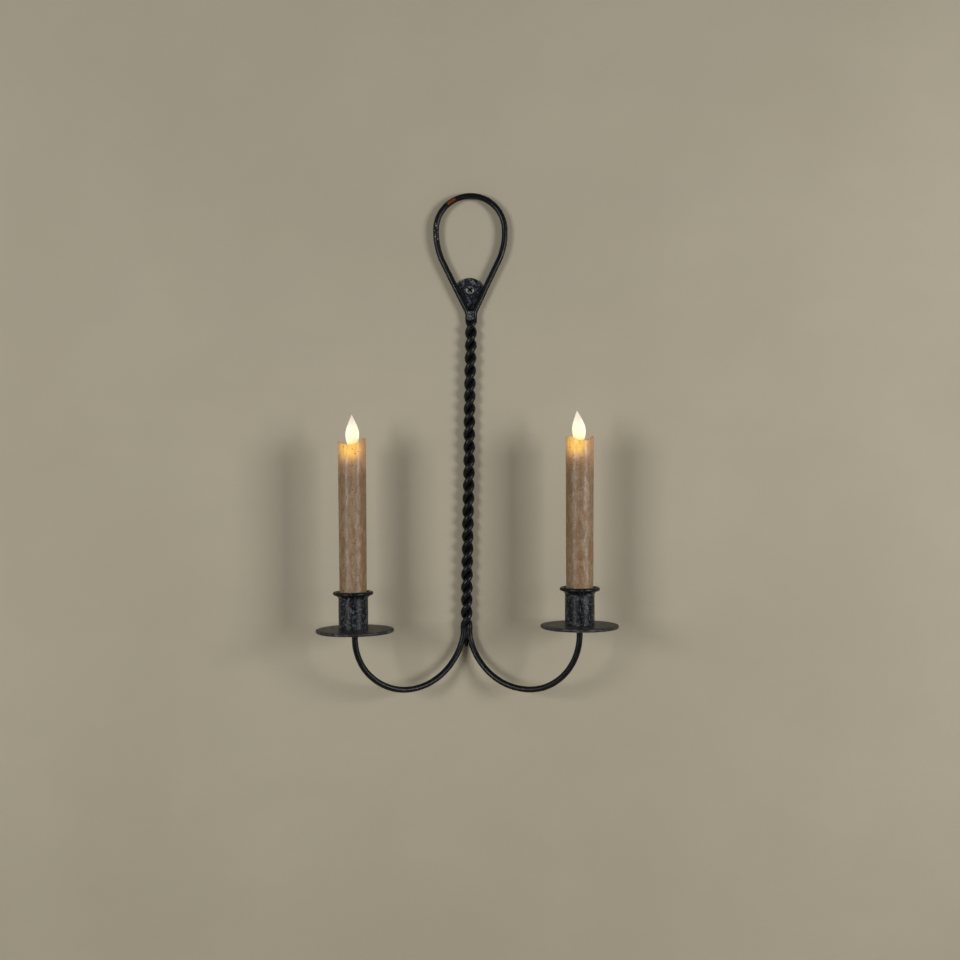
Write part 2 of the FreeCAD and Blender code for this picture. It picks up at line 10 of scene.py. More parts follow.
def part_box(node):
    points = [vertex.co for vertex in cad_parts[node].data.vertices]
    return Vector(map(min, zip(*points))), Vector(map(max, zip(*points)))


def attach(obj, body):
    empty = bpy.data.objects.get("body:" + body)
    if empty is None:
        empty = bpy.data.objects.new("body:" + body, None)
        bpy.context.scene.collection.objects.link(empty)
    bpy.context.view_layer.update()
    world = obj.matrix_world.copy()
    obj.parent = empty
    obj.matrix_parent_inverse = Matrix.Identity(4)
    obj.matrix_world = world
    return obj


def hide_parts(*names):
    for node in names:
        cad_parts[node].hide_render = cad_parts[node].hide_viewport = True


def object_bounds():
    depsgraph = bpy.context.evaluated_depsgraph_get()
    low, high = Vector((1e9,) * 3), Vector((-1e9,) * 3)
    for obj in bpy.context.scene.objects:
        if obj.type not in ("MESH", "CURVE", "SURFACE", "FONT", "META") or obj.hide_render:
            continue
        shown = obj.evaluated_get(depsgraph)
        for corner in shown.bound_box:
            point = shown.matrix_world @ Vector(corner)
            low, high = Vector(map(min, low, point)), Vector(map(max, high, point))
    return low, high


# Twisted-rod wall sconce with two battery flame tapers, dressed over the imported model.
# Metres, in the model's frame: +X right, -Y into the room, +Z up, the wall at y = 0.

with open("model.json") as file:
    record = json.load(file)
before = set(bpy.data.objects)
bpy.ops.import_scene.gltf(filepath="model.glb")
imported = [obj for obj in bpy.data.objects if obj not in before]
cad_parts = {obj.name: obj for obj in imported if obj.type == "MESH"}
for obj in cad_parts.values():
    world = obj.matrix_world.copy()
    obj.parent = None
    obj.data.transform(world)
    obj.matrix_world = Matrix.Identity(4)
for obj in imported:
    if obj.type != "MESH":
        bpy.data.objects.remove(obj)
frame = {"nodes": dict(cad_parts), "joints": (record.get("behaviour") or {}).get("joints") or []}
cad_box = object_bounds()

MM = 0.001
UP = Vector((0, 0, 1))
SIDES = {"left": -1, "right": 1}
noise.seed_set(37)       # fixes noise_vector, which bends the rod a little off its true line


# ---- Sizes read from the frame ----
def node_points(*names):
    return [v.co for name in names for v in frame["nodes"][name].data.vertices]


def box_of(points):
    """Lowest and highest corner of some points."""
    low = Vector([min(p[i] for p in points) for i in range(3)])
    high = Vector([max(p[i] for p in points) for i in range(3)])
    return low, high


def slab(points, z_low, z_high):
    """Box of the points between two heights."""
    return box_of([p for p in points if z_low <= p.z <= z_high])


def middle(box):
    return (box[0] + box[1]) / 2


def joint(name):
    return next(j for j in frame["joints"] if j["name"] == name)


def shown(name, data):
    """A new object of that data, in the scene."""
    made = bpy.data.objects.new(name, data)
    bpy.context.scene.collection.objects.link(made)
    return made


class Holder:
    """Where one candle holder stands, and its own box of a node: z is up the candle's axis."""

    def __init__(self, side):
        self.side = side
        twist = joint(side + "_cap_twist")
        self.axis = Vector(twist["axis"])
        self.tilt = math.atan2(self.axis.x, self.axis.z)
        turn = Matrix.Rotation(self.tilt, 4, "Y")
        self.place = Matrix.Translation(Vector(twist["pos_m"])) @ turn
        foot = self.box("candle_cup")[0].z
        self.place = self.place @ Matrix.Translation(UP * foot)
        self.pan_place = self.place @ Matrix.Translation(
            Vector((middle(self.box("drip_pan")).x, 0, 0)))
        pivot = Vector(joint(side + "_flame_sway")["pos_m"])
        magnet = middle(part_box(side + "_flame_magnet"))
        sway = math.atan2(pivot.x - magnet.x, pivot.z - magnet.z)
        self.flame_place = Matrix.Translation(pivot) @ Matrix.Rotation(sway, 4, "Y")
        self.flame_z = (self.place.inverted() @ pivot).z

    def at(self, x, y, z):
        """A place given in the holder's own frame."""
        return self.place @ Vector((x, y, z))

    def level(self, surface, z):
        """Height of a surface's points above z, up the candle's axis."""
        return surface.along(self.axis, self.at(0, 0, z))

    def box(self, node, place=None):
        """Box of one of this side's nodes in the holder's own frame."""
        back = (place or self.place).inverted()
        return box_of([back @ p for p in node_points(self.side + "_" + node)])


holders = {side: Holder(side) for side in SIDES}
upright = holders["right"]            # both sides have the same sizes

loop_low, loop_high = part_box("hanging_loop")
rod_radius = (loop_high.y - loop_low.y) / 2
rod_y = (loop_high.y + loop_low.y) / 2
strands = node_points("twist_strand_left", "twist_strand_right")
twist_low, twist_high = box_of(strands)
stem_top = middle(slab(strands, twist_high.z - 0.3 * MM, twist_high.z))
stem_foot = middle(slab(strands, twist_low.z, twist_low.z + 0.3 * MM))
strand_offset = (twist_high.y - twist_low.y) / 2 - rod_radius
twist_turns = 12

# Bends of the rod, between the places that the frame gives.
loop_top_radius = 27.9 * MM
loop_side_radius = 56.3 * MM
loop_leg_angle = math.radians(25.9)
loop_lean = math.radians(0.4)
crotch_radius = 9 * MM
crotch_run = 2 * MM
fork_run = 4.1 * MM
fork_radius = 15 * MM
fork_angle = math.radians(13.4)
arm_inner_radius = 50.4 * MM


# ---- Mesh helpers ----
def skin(name, rows, ring_closed=True, rows_closed=False, capped=False):
    """Mesh over rows of points, each row the same length and joined to the next."""
    count = len(rows[0])
    assert all(len(row) == count for row in rows), name + " has uneven rows"
    points = [p for row in rows for p in row]
    faces = []
    for i in range(len(rows) if rows_closed else len(rows) - 1):
        here = i * count
        there = (i + 1) % len(rows) * count
        for j in range(count if ring_closed else count - 1):
            k = (j + 1) % count
            faces.append((here + j, here + k, there + k, there + j))
    if capped:
        faces.append(tuple(reversed(range(count))))
        faces.append(tuple(range(len(points) - count, len(points))))
    mesh = bpy.data.meshes.new(name)
    mesh.from_pydata(points, [], faces)
    return tidied(mesh)


def ray(angle):
    """Unit vector at an angle about Z."""
    return Vector((math.cos(angle), math.sin(angle), 0))


def ring(centre, across, up, radius, segments):
    """Points round a circle in the plane of two directions."""
    turns = [2 * math.pi * k / segments for k in range(segments)]
    return [centre + (across * math.cos(a) + up * math.sin(a)) * radius for a in turns]


def tidied(mesh):
    """Merge coinciding points, drop empty faces and turn every face outwards."""
    work = bmesh.new()
    work.from_mesh(mesh)
    bmesh.ops.remove_doubles(work, verts=work.verts, dist=1e-7)
    bmesh.ops.dissolve_degenerate(work, dist=1e-8, edges=work.edges)
    bmesh.ops.recalc_face_normals(work, faces=work.faces)
    work.to_mesh(mesh)
    work.free()
    return mesh


def rounded(corners, step):
    """Outline through (radius, height, fillet) corners, in points about step apart."""
    def at(i):
        return Vector(corners[i][:2])

    points = [at(0)]
    for i in range(1, len(corners) - 1):
        corner, fillet = at(i), corners[i][2]
        back = (at(i - 1) - corner).normalized()
        ahead = (at(i + 1) - corner).normalized()
        half = back.angle(ahead) / 2
        if fillet == 0 or half > math.radians(89):
            points.append(corner)
            continue
        reach = fillet / math.tan(half)
        handle = reach * 0.55
        arc = interpolate_bezier(corner + back * reach, corner + back * (reach - handle),
                                 corner + ahead * (reach - handle), corner + ahead * reach, 7)
        points += [Vector(p[:2]) for p in arc]
    points.append(at(-1))
    return evenly(points, step)


def evenly(points, step):
    """The same line with no gap between points longer than step."""
    line = [points[0]]
    for p in points[1:]:
        gap = p - line[-1]
        count = max(1, math.ceil(gap.length / step))
        start = line[-1].copy()
        line += [start + gap * (i + 1) / count for i in range(count)]
    return line


def spread(line, count):
    """Exactly that many points, evenly along a closed line, starting at its first point."""
    loop = line + line[:1]
    marks = [0.0]
    for p, q in zip(loop, loop[1:]):
        marks.append(marks[-1] + (q - p).length)
    points = []
    i = 0
    for k in range(count):
        want = marks[-1] * k / count
        while marks[i + 1] < want:
            i += 1
        points.append(loop[i].lerp(loop[i + 1], (want - marks[i]) / (marks[i + 1] - marks[i])))
    return points


def turned(name, profile, segments, closed=True, start=0.0, sweep=2 * math.pi):
    """Surface of revolution about Z from (radius, height) points."""
    whole = sweep > 2 * math.pi - 1e-6
    rows = []
    for i in range(segments if whole else segments + 1):
        angle = start + sweep * i / segments
        rows.append([ray(angle) * p.x + UP * p.y for p in profile])
    return skin(name, rows, ring_closed=closed, rows_closed=whole, capped=not whole)


def roughened(mesh, depth, height_at):
    """Move each point along its normal by depth times height_at(point), which runs from 0 to 1.

    The height stays on the mesh as the relief attribute, so that a material can follow it.
    """
    normals = [v.normal.copy() for v in mesh.vertices]
    relief = mesh.attributes.new("relief", "FLOAT", "POINT")
    for v, normal in zip(mesh.vertices, normals):
        height = min(1, max(0, height_at(v.co)))
        relief.data[v.index].value = height
        v.co += normal * depth * (height - 0.5)


def hammered(size, seed=0.0):
    """Height of a hammered skin: shallow bowls of about that size over finer lumps."""
    shift = Vector((seed, 2 * seed, 3 * seed))

    def height(p):
        bowl = noise.voronoi(p / size + shift)[0][0]
        lumps = noise.fractal(p / size * 2.5 + shift, 0.8, 2.1, 3)
        return 0.25 + 0.7 * bowl * bowl + 0.28 * lumps
    return height


def baked(made, name):
    """Mesh of an object with its modifiers applied; the object itself goes."""
    graph = bpy.context.evaluated_depsgraph_get()
    mesh = bpy.data.meshes.new_from_object(made.evaluated_get(graph), depsgraph=graph)
    mesh.name = name
    bpy.data.objects.remove(made)
    return mesh


def piece(name, mesh, body, material, stands_for=(), place=None):
    """Put a mesh in the scene as a piece of the object that rides on a body."""
    if place is not None:
        mesh.transform(place)
    mesh.shade_smooth()
    mesh.set_sharp_from_angle(angle=math.radians(50))
    mesh.materials.append(material)
    made = shown(name, mesh)
    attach(made, body)
    if stands_for:
        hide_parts(*stands_for)


# ---- Material helpers ----
class Surface:
    """One material in the making: a Principled shader and short calls for the nodes behind it."""

    def __init__(self, name, metallic=0.0, specular=0.5):
        self.material = bpy.data.materials.new(name)
        self.material.use_nodes = True
        self.tree = self.material.node_tree
        self.shader = self.tree.nodes["Principled BSDF"]
        self.set("Metallic", metallic)
        self.set("Specular IOR Level", specular)
        self.places = self.node("ShaderNodeTexCoord").outputs["Object"]

    def node(self, kind, **settings):
        made = self.tree.nodes.new(kind)
        for key, value in settings.items():
            setattr(made, key, value)
        return made

    def feed(self, socket, value):
        if isinstance(value, bpy.types.NodeSocket):
            self.tree.links.new(value, socket)
        else:
            socket.default_value = value

    def set(self, socket, value):
        self.feed(self.shader.inputs[socket], value)

    def stretched(self, stretch):
        mapping = self.node("ShaderNodeMapping")
        self.feed(mapping.inputs["Vector"], self.places)
        mapping.inputs["Scale"].default_value = [1 / s for s in stretch]
        return mapping.outputs["Vector"]

    def clouds(self, size, detail, stretch=(1, 1, 1)):
        """Soft noise from about 0.3 to 0.7, with lumps of that size."""
        made = self.node("ShaderNodeTexNoise")
        self.feed(made.inputs["Vector"], self.stretched(stretch))
        made.inputs["Scale"].default_value = 1 / size
        made.inputs["Detail"].default_value = detail
        made.inputs["Roughness"].default_value = 0.55
        return made.outputs["Fac"]

    def spots(self, size):
        """Distance from scattered points about that far apart, 0 at each, and a tone of each."""
        made = self.node("ShaderNodeTexVoronoi")
        self.feed(made.inputs["Vector"], self.places)
        made.inputs["Scale"].default_value = 1 / size
        return made.outputs["Distance"], made.outputs["Color"]

    def relief(self):
        return self.node("ShaderNodeAttribute", attribute_name="relief").outputs["Fac"]

    def maths(self, operation, *values):
        made = self.node("ShaderNodeMath", operation=operation)
        for socket, value in zip(made.inputs, values):
            self.feed(socket, value)
        return made.outputs[0]

    def times(self, first, second):
        return self.maths("MULTIPLY", first, second)

    def plus(self, first, second):
        return self.maths("ADD", first, second)

    def span(self, value, low, high, out_low=0.0, out_high=1.0):
        """Smooth step of a value between two levels."""
        made = self.node("ShaderNodeMapRange", interpolation_type="SMOOTHSTEP")
        sockets = ("Value", "From Min", "From Max", "To Min", "To Max")
        for socket, setting in zip(sockets, (value, low, high, out_low, out_high)):
            self.feed(made.inputs[socket], setting)
        return made.outputs["Result"]

    def vectors(self, operation, value, place):
        made = self.node("ShaderNodeVectorMath", operation=operation)
        self.feed(made.inputs[0], value)
        made.inputs[1].default_value = place
        return made.outputs

    def away(self, place):
        """Distance from a place."""
        return self.vectors("DISTANCE", self.places, place)["Value"]

    def near(self, place, radius, edge=0.5):
        """1 close to a place, falling to 0 at the radius."""
        return self.span(self.away(place), radius, radius * edge)

    def along(self, axis, start):
        """Distance from a start place along an axis."""
        offset = self.vectors("SUBTRACT", self.places, start)["Vector"]
        return self.vectors("DOT_PRODUCT", offset, axis)["Value"]

    def blend(self, factor, first, second):
        made = self.node("ShaderNodeMix", data_type="RGBA")
        self.feed(made.inputs["Factor"], factor)
        for socket, value in zip([s for s in made.inputs if s.type == "RGBA"], (first, second)):
            self.feed(socket, value if isinstance(value, bpy.types.NodeSocket) else (*value, 1))
        return next(s for s in made.outputs if s.type == "RGBA")

    def tones(self, value, low, high, first, second, share=1.0):
        """First colour, turning into a share of the second as a value rises between two levels."""
        return self.blend(self.span(value, low, high, 0, share), first, second)

    def finish(self, colour, roughness, height, depth):
        """Colour and roughness, and a surface raised by depth where height is 1."""
        self.set("Base Color", colour)
        self.set("Roughness", roughness)
        made = self.node("ShaderNodeBump")
        made.inputs["Distance"].default_value = depth
        self.feed(made.inputs["Height"], height)
        self.set("Normal", made.outputs["Normal"])
        return self.material


class Forged(Surface):
    """Hammered iron: its grain, the height of each place and how much it sticks out to be rubbed."""

    def __init__(self, name, specular, fine_size, broad_size):
        super().__init__(name, specular=specular)
        self.fine = self.clouds(fine_size, 4)
        self.broad = self.clouds(broad_size, 3)
        grain = self.clouds(0.45 * MM, 2)
        self.height = self.plus(self.times(self.relief(), 0.5), self.times(self.fine, 0.65))
        self.rubbed = self.plus(self.times(self.height, 0.5), self.times(grain, 0.6))
        self.lumps = self.plus(self.fine, self.times(grain, 0.8))


def iron(name, paint, worn, worn_level, brown=0.25, rust=()):
    """Black paint over hammered iron.

    It is black in the dents, dull blue-grey on the high spots, browned in patches, and rubbed
    to the worn colour on the highest spots. rust lists (place, radius, colour).
    """
    s = Forged(name, 0.28, 1.0 * MM, 11 * MM)
    black = tuple(c * 0.25 for c in paint)
    colour = s.tones(s.height, 0.4, 0.66, black, paint)
    brown_paint = (paint[0] * 1.3, paint[1] * 0.95, paint[2] * 0.65)
    colour = s.tones(s.broad, 0.5, 0.68, colour, brown_paint, brown)
    colour = s.tones(s.rubbed, worn_level, worn_level + 0.08, colour, worn, 0.85)
    for place, radius, tone in rust:
        patch = s.times(s.near(place, radius), s.span(s.fine, 0.42, 0.5))
        colour = s.blend(patch, colour, tone)
    rough = s.span(s.plus(s.fine, s.times(s.broad, 0.5)), 0.55, 0.95, 0.24, 0.42)
    return s.finish(colour, rough, s.lumps, 0.06 * MM)


# ---- Rod frame ----
def flat_route(start, along, heading, moves, step):
    """Points of straight runs (length,) and tangent bends (radius, turn) in an upright plane."""
    points = [start.copy()]
    for move in moves:
        radius, turn = move if len(move) == 2 else (0.0, 0.0)
        length = abs(radius * turn) if turn else move[0]
        count = max(1, round(length / step))
        chord = 2 * radius * math.sin(abs(turn) / count / 2) if turn else length / count
        for _ in range(count):
            aim = heading + turn / count / 2
            points.append(points[-1] + (along * math.cos(aim) + UP * math.sin(aim)) * chord)
            heading += turn / count
    return points


def loop_route(step):
    """The teardrop loop, from the right strand's top round to the left strand's top."""
    leg_x = strand_offset + crotch_radius * (1 - math.cos(loop_leg_angle))
    leg_z = stem_top.z + crotch_run + crotch_radius * math.sin(loop_leg_angle)
    centre_z = loop_high.z - rod_radius - loop_top_radius
    reach = leg_x * math.cos(loop_leg_angle) + (centre_z - leg_z) * math.sin(loop_leg_angle)
    radius_step = loop_side_radius - loop_top_radius
    join = math.acos((loop_side_radius - reach) / radius_step) - loop_leg_angle
    side_turn = join + loop_leg_angle
    centre_x = -radius_step * math.cos(join)
    side_z = centre_z - radius_step * math.sin(join)
    leg_run = ((centre_x - leg_x) * math.sin(loop_leg_angle)
               + (side_z - leg_z) * math.cos(loop_leg_angle))
    up_side = [(crotch_run,), (crotch_radius, -loop_leg_angle), (leg_run,),
               (loop_side_radius, side_turn)]
    moves = up_side + [(loop_top_radius, math.pi - 2 * join)] + up_side[::-1]
    start = Vector((stem_top.x + strand_offset, rod_y, stem_top.z))
    route = flat_route(start, Vector((1, 0, 0)), math.pi / 2, moves, step)
    lean = (Matrix.Translation(stem_top) @ Matrix.Rotation(-loop_lean, 4, "Y")
            @ Matrix.Translation(-stem_top))
    return [lean @ p for p in route]


def strand_route(side, step):
    """One strand of the twist from its foot to its top, easing into both ends."""
    height = (stem_top - stem_foot).length
    ease = 4 * MM / height
    length = math.hypot(height, 2 * math.pi * strand_offset * twist_turns)
    count = round(length / step)
    first = 0 if side == "right" else math.pi
    points = []
    for i in range(count + 1):
        t = i / count
        near_end = min(t, 1 - t)
        if near_end < ease:
            gone = near_end * near_end / (2 * ease)
        else:
            gone = near_end - ease / 2
        share = gone if t < 0.5 else 1 - ease - gone
        angle = first + 2 * math.pi * twist_turns * share / (1 - ease)
        angle += 0.2 * noise.noise(Vector((0, 0, t * 9))) * min(1, near_end * 12)
        out = ray(angle) * strand_offset
        points.append(stem_foot.lerp(stem_top, t) + out)
    return points


def arm_route(side, step):
    """One arm from the twist's foot down, forward and up to the underside of the pan."""
    holder = holders[side]
    pan = holder.pan_place.translation
    start = stem_foot + Vector((SIDES[side] * strand_offset, 0, 0))
    across = Vector((pan.x - start.x, pan.y - start.y, 0))
    reach = across.length
    across.normalize()
    outer_radius = (reach - fork_radius * (1 - math.cos(fork_angle))
                    - arm_inner_radius * math.cos(fork_angle))
    lowest = (start.z - fork_run - fork_radius * math.sin(fork_angle)
              - arm_inner_radius * (1 - math.sin(fork_angle)))
    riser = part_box(side + "_arm")[1].z - (lowest + outer_radius)
    moves = [(fork_run,), (fork_radius, fork_angle), (arm_inner_radius, math.pi / 2 - fork_angle),
             (outer_radius, math.pi / 2), (riser,)]
    return flat_route(start, across, -math.pi / 2, moves, step)


def rod_route(step):
    """The whole rod: right arm, right strand, loop, left strand, left arm."""
    route = arm_route("right", step)[::-1]
    route += strand_route("right", step)[1:]
    route += loop_route(step)[1:]
    route += strand_route("left", step)[::-1][1:]
    route += arm_route("left", step)[1:]
    return [p + noise.noise_vector(p / (38 * MM)) * 0.35 * MM for p in route]


def swept(name, route, radius, segments):
    """Round rod along a route, its rings carried along without twisting."""
    tangent = (route[1] - route[0]).normalized()
    side = tangent.orthogonal().normalized()
    rows = []
    for i, p in enumerate(route):
        ahead = route[min(i + 1, len(route) - 1)] - route[max(i - 1, 0)]
        ahead.normalize()
        side = (side - ahead * side.dot(ahead)).normalized()
        rows.append(ring(p, side, ahead.cross(side), radius, segments))
    return skin(name, rows, capped=True)


def forged_rod():
    """One continuous rod in place of the frame's five rod nodes."""
    mesh = swept("forged_rod", rod_route(0.6 * MM), rod_radius, 26)
    roughened(mesh, 0.11 * MM, hammered(3.2 * MM))
    front = Vector((0, -rod_radius, 0))
    rust = []
    for i, p in enumerate(loop_route(1.8 * MM)):
        drop = loop_high.z - p.z
        if p.x < stem_top.x and 5 * MM < drop < 9.5 * MM:
            rust.append((p + front, 1.6 * MM, (0.24, 0.042, 0.008)))
        elif p.x < stem_top.x and 22 * MM < drop < 40 * MM:
            across = Vector((math.sin(i * 2.4) * 1.3 * MM, 0, 0))
            tone = (0.3, 0.28, 0.25) if i % 3 else (0.16, 0.055, 0.02)
            rust.append((p + front + across, 0.85 * MM, tone))
    look = iron("rod_iron", (0.005, 0.0065, 0.009), (0.085, 0.095, 0.11), 0.75, rust=rust)
    stands_for = ["hanging_loop", "twist_strand_left", "twist_strand_right",
                  "left_arm", "right_arm"]
    piece("forged_rod", mesh, "sconce", look, stands_for)


def weld(name, blobs, look):
    """Weld metal: overlapping blobs (place, radius) fused into one lumpy mesh."""
    work = bmesh.new()
    for place, radius in blobs:
        bmesh.ops.create_icosphere(work, subdivisions=3, radius=radius,
                                   matrix=Matrix.Translation(place))
    mesh = bpy.data.meshes.new(name)
    work.to_mesh(mesh)
    work.free()
    raw = shown(name + "_raw", mesh)
    fuse = raw.modifiers.new("fuse", "REMESH")
    fuse.mode = "VOXEL"
    fuse.voxel_size = 0.22 * MM
    soften = raw.modifiers.new("soften", "SMOOTH")
    soften.iterations = 4
    fused = baked(raw, name)
    roughened(fused, 0.25 * MM, hammered(1.6 * MM, 5))
    piece(name, fused, "sconce", look)


def frame_welds():
    """Weld metal in the crotch under the loop and in the fork over the arms, and near-black blobs set
    back below the fork as painted shade.
    """
    # The crotch weld's paint and worn colour are lighter than the rod's. This is partly its own worn grey
    # and partly painted light that makes up for the shade in the crotch.
    look = iron("weld_iron", (0.027, 0.033, 0.043), (0.25, 0.28, 0.32), 0.59)
    front = Vector((0, -1, 0))
    crotch = []
    for level in range(5):
        for across in (-1.5, 0.2, 1.6):
            place = stem_top + Vector((across * MM, 0, (level * 1.25 - 1.0) * MM))
            bulge = noise.noise(place / (2 * MM)) * 0.35 * MM
            crotch.append((place - front * 0.2 * MM, 1.9 * MM + bulge))
            crotch.append((place + front * 1.1 * MM, 1.45 * MM + bulge))
    weld("crotch_weld", crotch, look)
    fork = []
    for level in range(6):
        place = stem_foot - UP * (level * 1.3 + 0.4) * MM
        bulge = noise.noise(place / (2 * MM)) * 0.3 * MM
        for across in (-1.3, 0.0, 1.3):
            fork.append((place + Vector((across * MM, 0, 0)) + front * 0.5 * MM, 1.75 * MM + bulge))
    weld("fork_weld", fork, iron("fork_iron", (0.011, 0.0135, 0.018), (0.15, 0.165, 0.19), 0.68))
    # Painted shade: near-black weld blobs set back towards the wall below the fork stand for the dark
    # crevice between the arms.
    shade_paint = iron("fork_painted_shade", (0.002, 0.0019, 0.0018), (0.02, 0.014, 0.01), 0.75)
    root = []
    for level in range(8):
        place = stem_foot - UP * (level * 1.1 + 6.6) * MM - front * 0.9 * MM
        root.append((place, (1.8 - level * 0.06) * MM))
    weld("fork_shade_fill", root, shade_paint)


forged_rod()
frame_welds()


# ---- Tab and wall screw ----
screw_low, screw_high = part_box("wall_screw")
screw_head_radius = (screw_high.x - screw_low.x) / 2
screw_face = -screw_low.y
shank_radius = 2.1 * MM
thread_radius = 2.0 * MM
core_radius = 1.45 * MM
thread_pitch = 1.8 * MM
shank_length = 12 * MM
TO_ROOM = Matrix.Rotation(math.pi / 2, 4, "X")      # turns +Z towards the room


def hanger_tab():
    """Tab with a countersunk hole and a tongue that narrows down into the crotch."""
    low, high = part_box("hanger_tab")
    radius = high.z
    thickness = high.y - low.y
    tongue_radius = 2.6 * MM
    tongue = Vector((stem_top.x, low.z + tongue_radius, 0))
    taper = math.asin((radius - tongue_radius) / tongue.length)
    tip_side = math.atan2(tongue_radius * math.cos(taper),
                          tongue.length + tongue_radius * math.sin(taper))
    down = math.atan2(tongue.y, tongue.x)
    hole = shank_radius
    sink = screw_head_radius + 0.2 * MM
    segments = 150
    rows = []
    for k in range(segments):
        turn = 2 * math.pi * k / segments
        side = abs((turn - down + math.pi) % (2 * math.pi) - math.pi)
        beam = ray(turn)
        if side > math.pi / 2 - taper:
            reach = radius
        elif side > tip_side:
            reach = radius / math.sin(taper + side)
        else:
            ahead = tongue.dot(beam)
            reach = ahead + math.sqrt(tongue_radius ** 2 + ahead ** 2 - tongue.length_squared)
        corners = [(hole, 0.8 * MM, 0), (hole, 0, 0.2 * MM), (reach, 0, 0.3 * MM),
                   (reach, thickness, 0.6 * MM), (sink, thickness, 0.25 * MM),
                   (hole, thickness - (sink - hole), 0)]
        profile = spread(rounded(corners, MM), 70)
        rows.append([beam * p.x + UP * p.y for p in profile])
    mesh = skin("hanger_tab_forged", rows, rows_closed=True)
    roughened(mesh, 0.2 * MM, hammered(2.6 * MM, 9))
    look = iron("tab_iron", (0.02, 0.0245, 0.033), (0.19, 0.21, 0.24), 0.63, 0.35)
    piece("hanger_tab_forged", mesh, "sconce", look, ["hanger_tab"], TO_ROOM)


def cross_cutter():
    """Tapered cross that cuts the recess of the screw's head."""
    half_width = 0.66 * MM
    reach = 2.7 * MM
    depth = 2.2 * MM
    quarter = [(half_width, half_width), (half_width, reach), (-half_width, reach)]
    star = []
    for k in range(4):
        turn = Matrix.Rotation(k * math.pi / 2, 2)
        star += [turn @ Vector(p) for p in quarter]
    rows = []
    for level, scale in ((screw_face + MM, 1.3), (screw_face - depth, 0.45)):
        rows.append([Vector((p.x * scale, p.y * scale, level)) for p in star])
    mesh = skin("cross_cutter", rows, capped=True)
    mesh.transform(Matrix.Rotation(math.radians(42), 4, "Z"))
    return mesh


def cut(mesh, cutter):
    """The mesh with the cutter's shape taken out of it."""
    body = shown("cut_body", mesh)
    knife = shown("cut_knife", cutter)
    boolean = body.modifiers.new("cut", "BOOLEAN")
    boolean.object = knife
    boolean.operation = "DIFFERENCE"
    boolean.solver = "EXACT"
    result = baked(body, mesh.name)
    bpy.data.objects.remove(knife)
    return result


def screw_head():
    """Oval head with a cross recess and a short neck."""
    edge = screw_face - 0.8 * MM
    corners = [(0, screw_face, 0), (screw_head_radius * 0.55, screw_face - 0.12 * MM, 3 * MM),
               (screw_head_radius, edge, 0.15 * MM),
               (shank_radius, edge - (screw_head_radius - shank_radius), 0.1 * MM),
               (shank_radius, -2 * MM, 0), (0, -2 * MM, 0)]
    mesh = turned("wall_screw_head", rounded(corners, 0.35 * MM), 72, closed=False)
    mesh = cut(mesh, cross_cutter())
    roughened(mesh, 0.05 * MM, hammered(1.2 * MM, 13))
    piece("wall_screw_head", mesh, "sconce", screw_steel(), (), TO_ROOM)


def screw_thread():
    """Shank, helical thread and point, from the wall plane inwards."""
    length = screw_high.y
    tip = 5 * MM
    segments = 36
    step = 0.16 * MM
    rows = []
    for i in range(round(length / step) + 1):
        depth = i * step
        row = []
        for k in range(segments):
            angle = 2 * math.pi * k / segments
            phase = (depth / thread_pitch + angle / (2 * math.pi)) % 1
            ridge = max(0, 1 - abs(phase - 0.5) * 3.2)
            if depth < shank_length:
                radius = shank_radius
            else:
                grown = min(1, (depth - shank_length) / (1.5 * MM))
                taper = min(1, max(0.02, (length - depth) / tip))
                radius = (core_radius * taper ** 0.8
                          + (thread_radius - core_radius) * ridge * grown * min(1, taper * 2))
                radius += (shank_radius - core_radius) * (1 - grown)
            row.append(ray(angle) * radius - UP * depth)
        rows.append(row)
    mesh = skin("wall_screw_thread", rows, capped=True)
    roughened(mesh, 0.03 * MM, hammered(1.5 * MM, 17))
    piece("wall_screw_thread", mesh, "sconce", screw_steel(),
          ["wall_screw"], TO_ROOM)


def screw_steel():
    """Dull zinc with black paint left in broad patches. Below the head's face it turns near black with
    depth, as painted shade in the cross recess and round the head's rim.
    """
    s = Surface("screw_zinc", metallic=0.6)
    fine = s.clouds(0.7 * MM, 4)
    broad = s.clouds(2.0 * MM, 3)
    colour = s.tones(fine, 0.35, 0.65, (0.13, 0.13, 0.127), (0.36, 0.36, 0.345))
    colour = s.tones(broad, 0.52, 0.62, colour, (0.02, 0.021, 0.023), 0.9)
    # Painted shade: near black with depth below the head's face, in the cross recess and on the sloping
    # rim of the head.
    depth = s.along(Vector((0, 1, 0)), Vector((0, -screw_face, 0)))
    colour = s.tones(depth, 0.3 * MM, 0.7 * MM, colour, (0.004, 0.004, 0.005))
    return s.finish(colour, s.span(fine, 0.3, 0.7, 0.4, 0.62), fine, 0.03 * MM)


hanger_tab()
screw_head()
screw_thread()


# ---- Holder: pan, cup and rim ----
pan_low, pan_high = upright.box("drip_pan")
pan_radius = (pan_high.x - pan_low.x) / 2
cup_foot = slab([upright.place.inverted() @ p for p in node_points("right_candle_cup")],
                -0.1 * MM, 0.5 * MM)
cup_radius = (cup_foot[1].x - cup_foot[0].x) / 2
cup_wall = 0.5 * MM
rim_low, rim_high = upright.box("cup_rim")
rim_wire = (rim_high.z - rim_low.z) / 2
rim_radius = (rim_high.x - rim_low.x) / 2 - rim_wire
rim_z = (rim_high.z + rim_low.z) / 2
FRONT = -math.pi / 2                  # angle about Z that faces the room


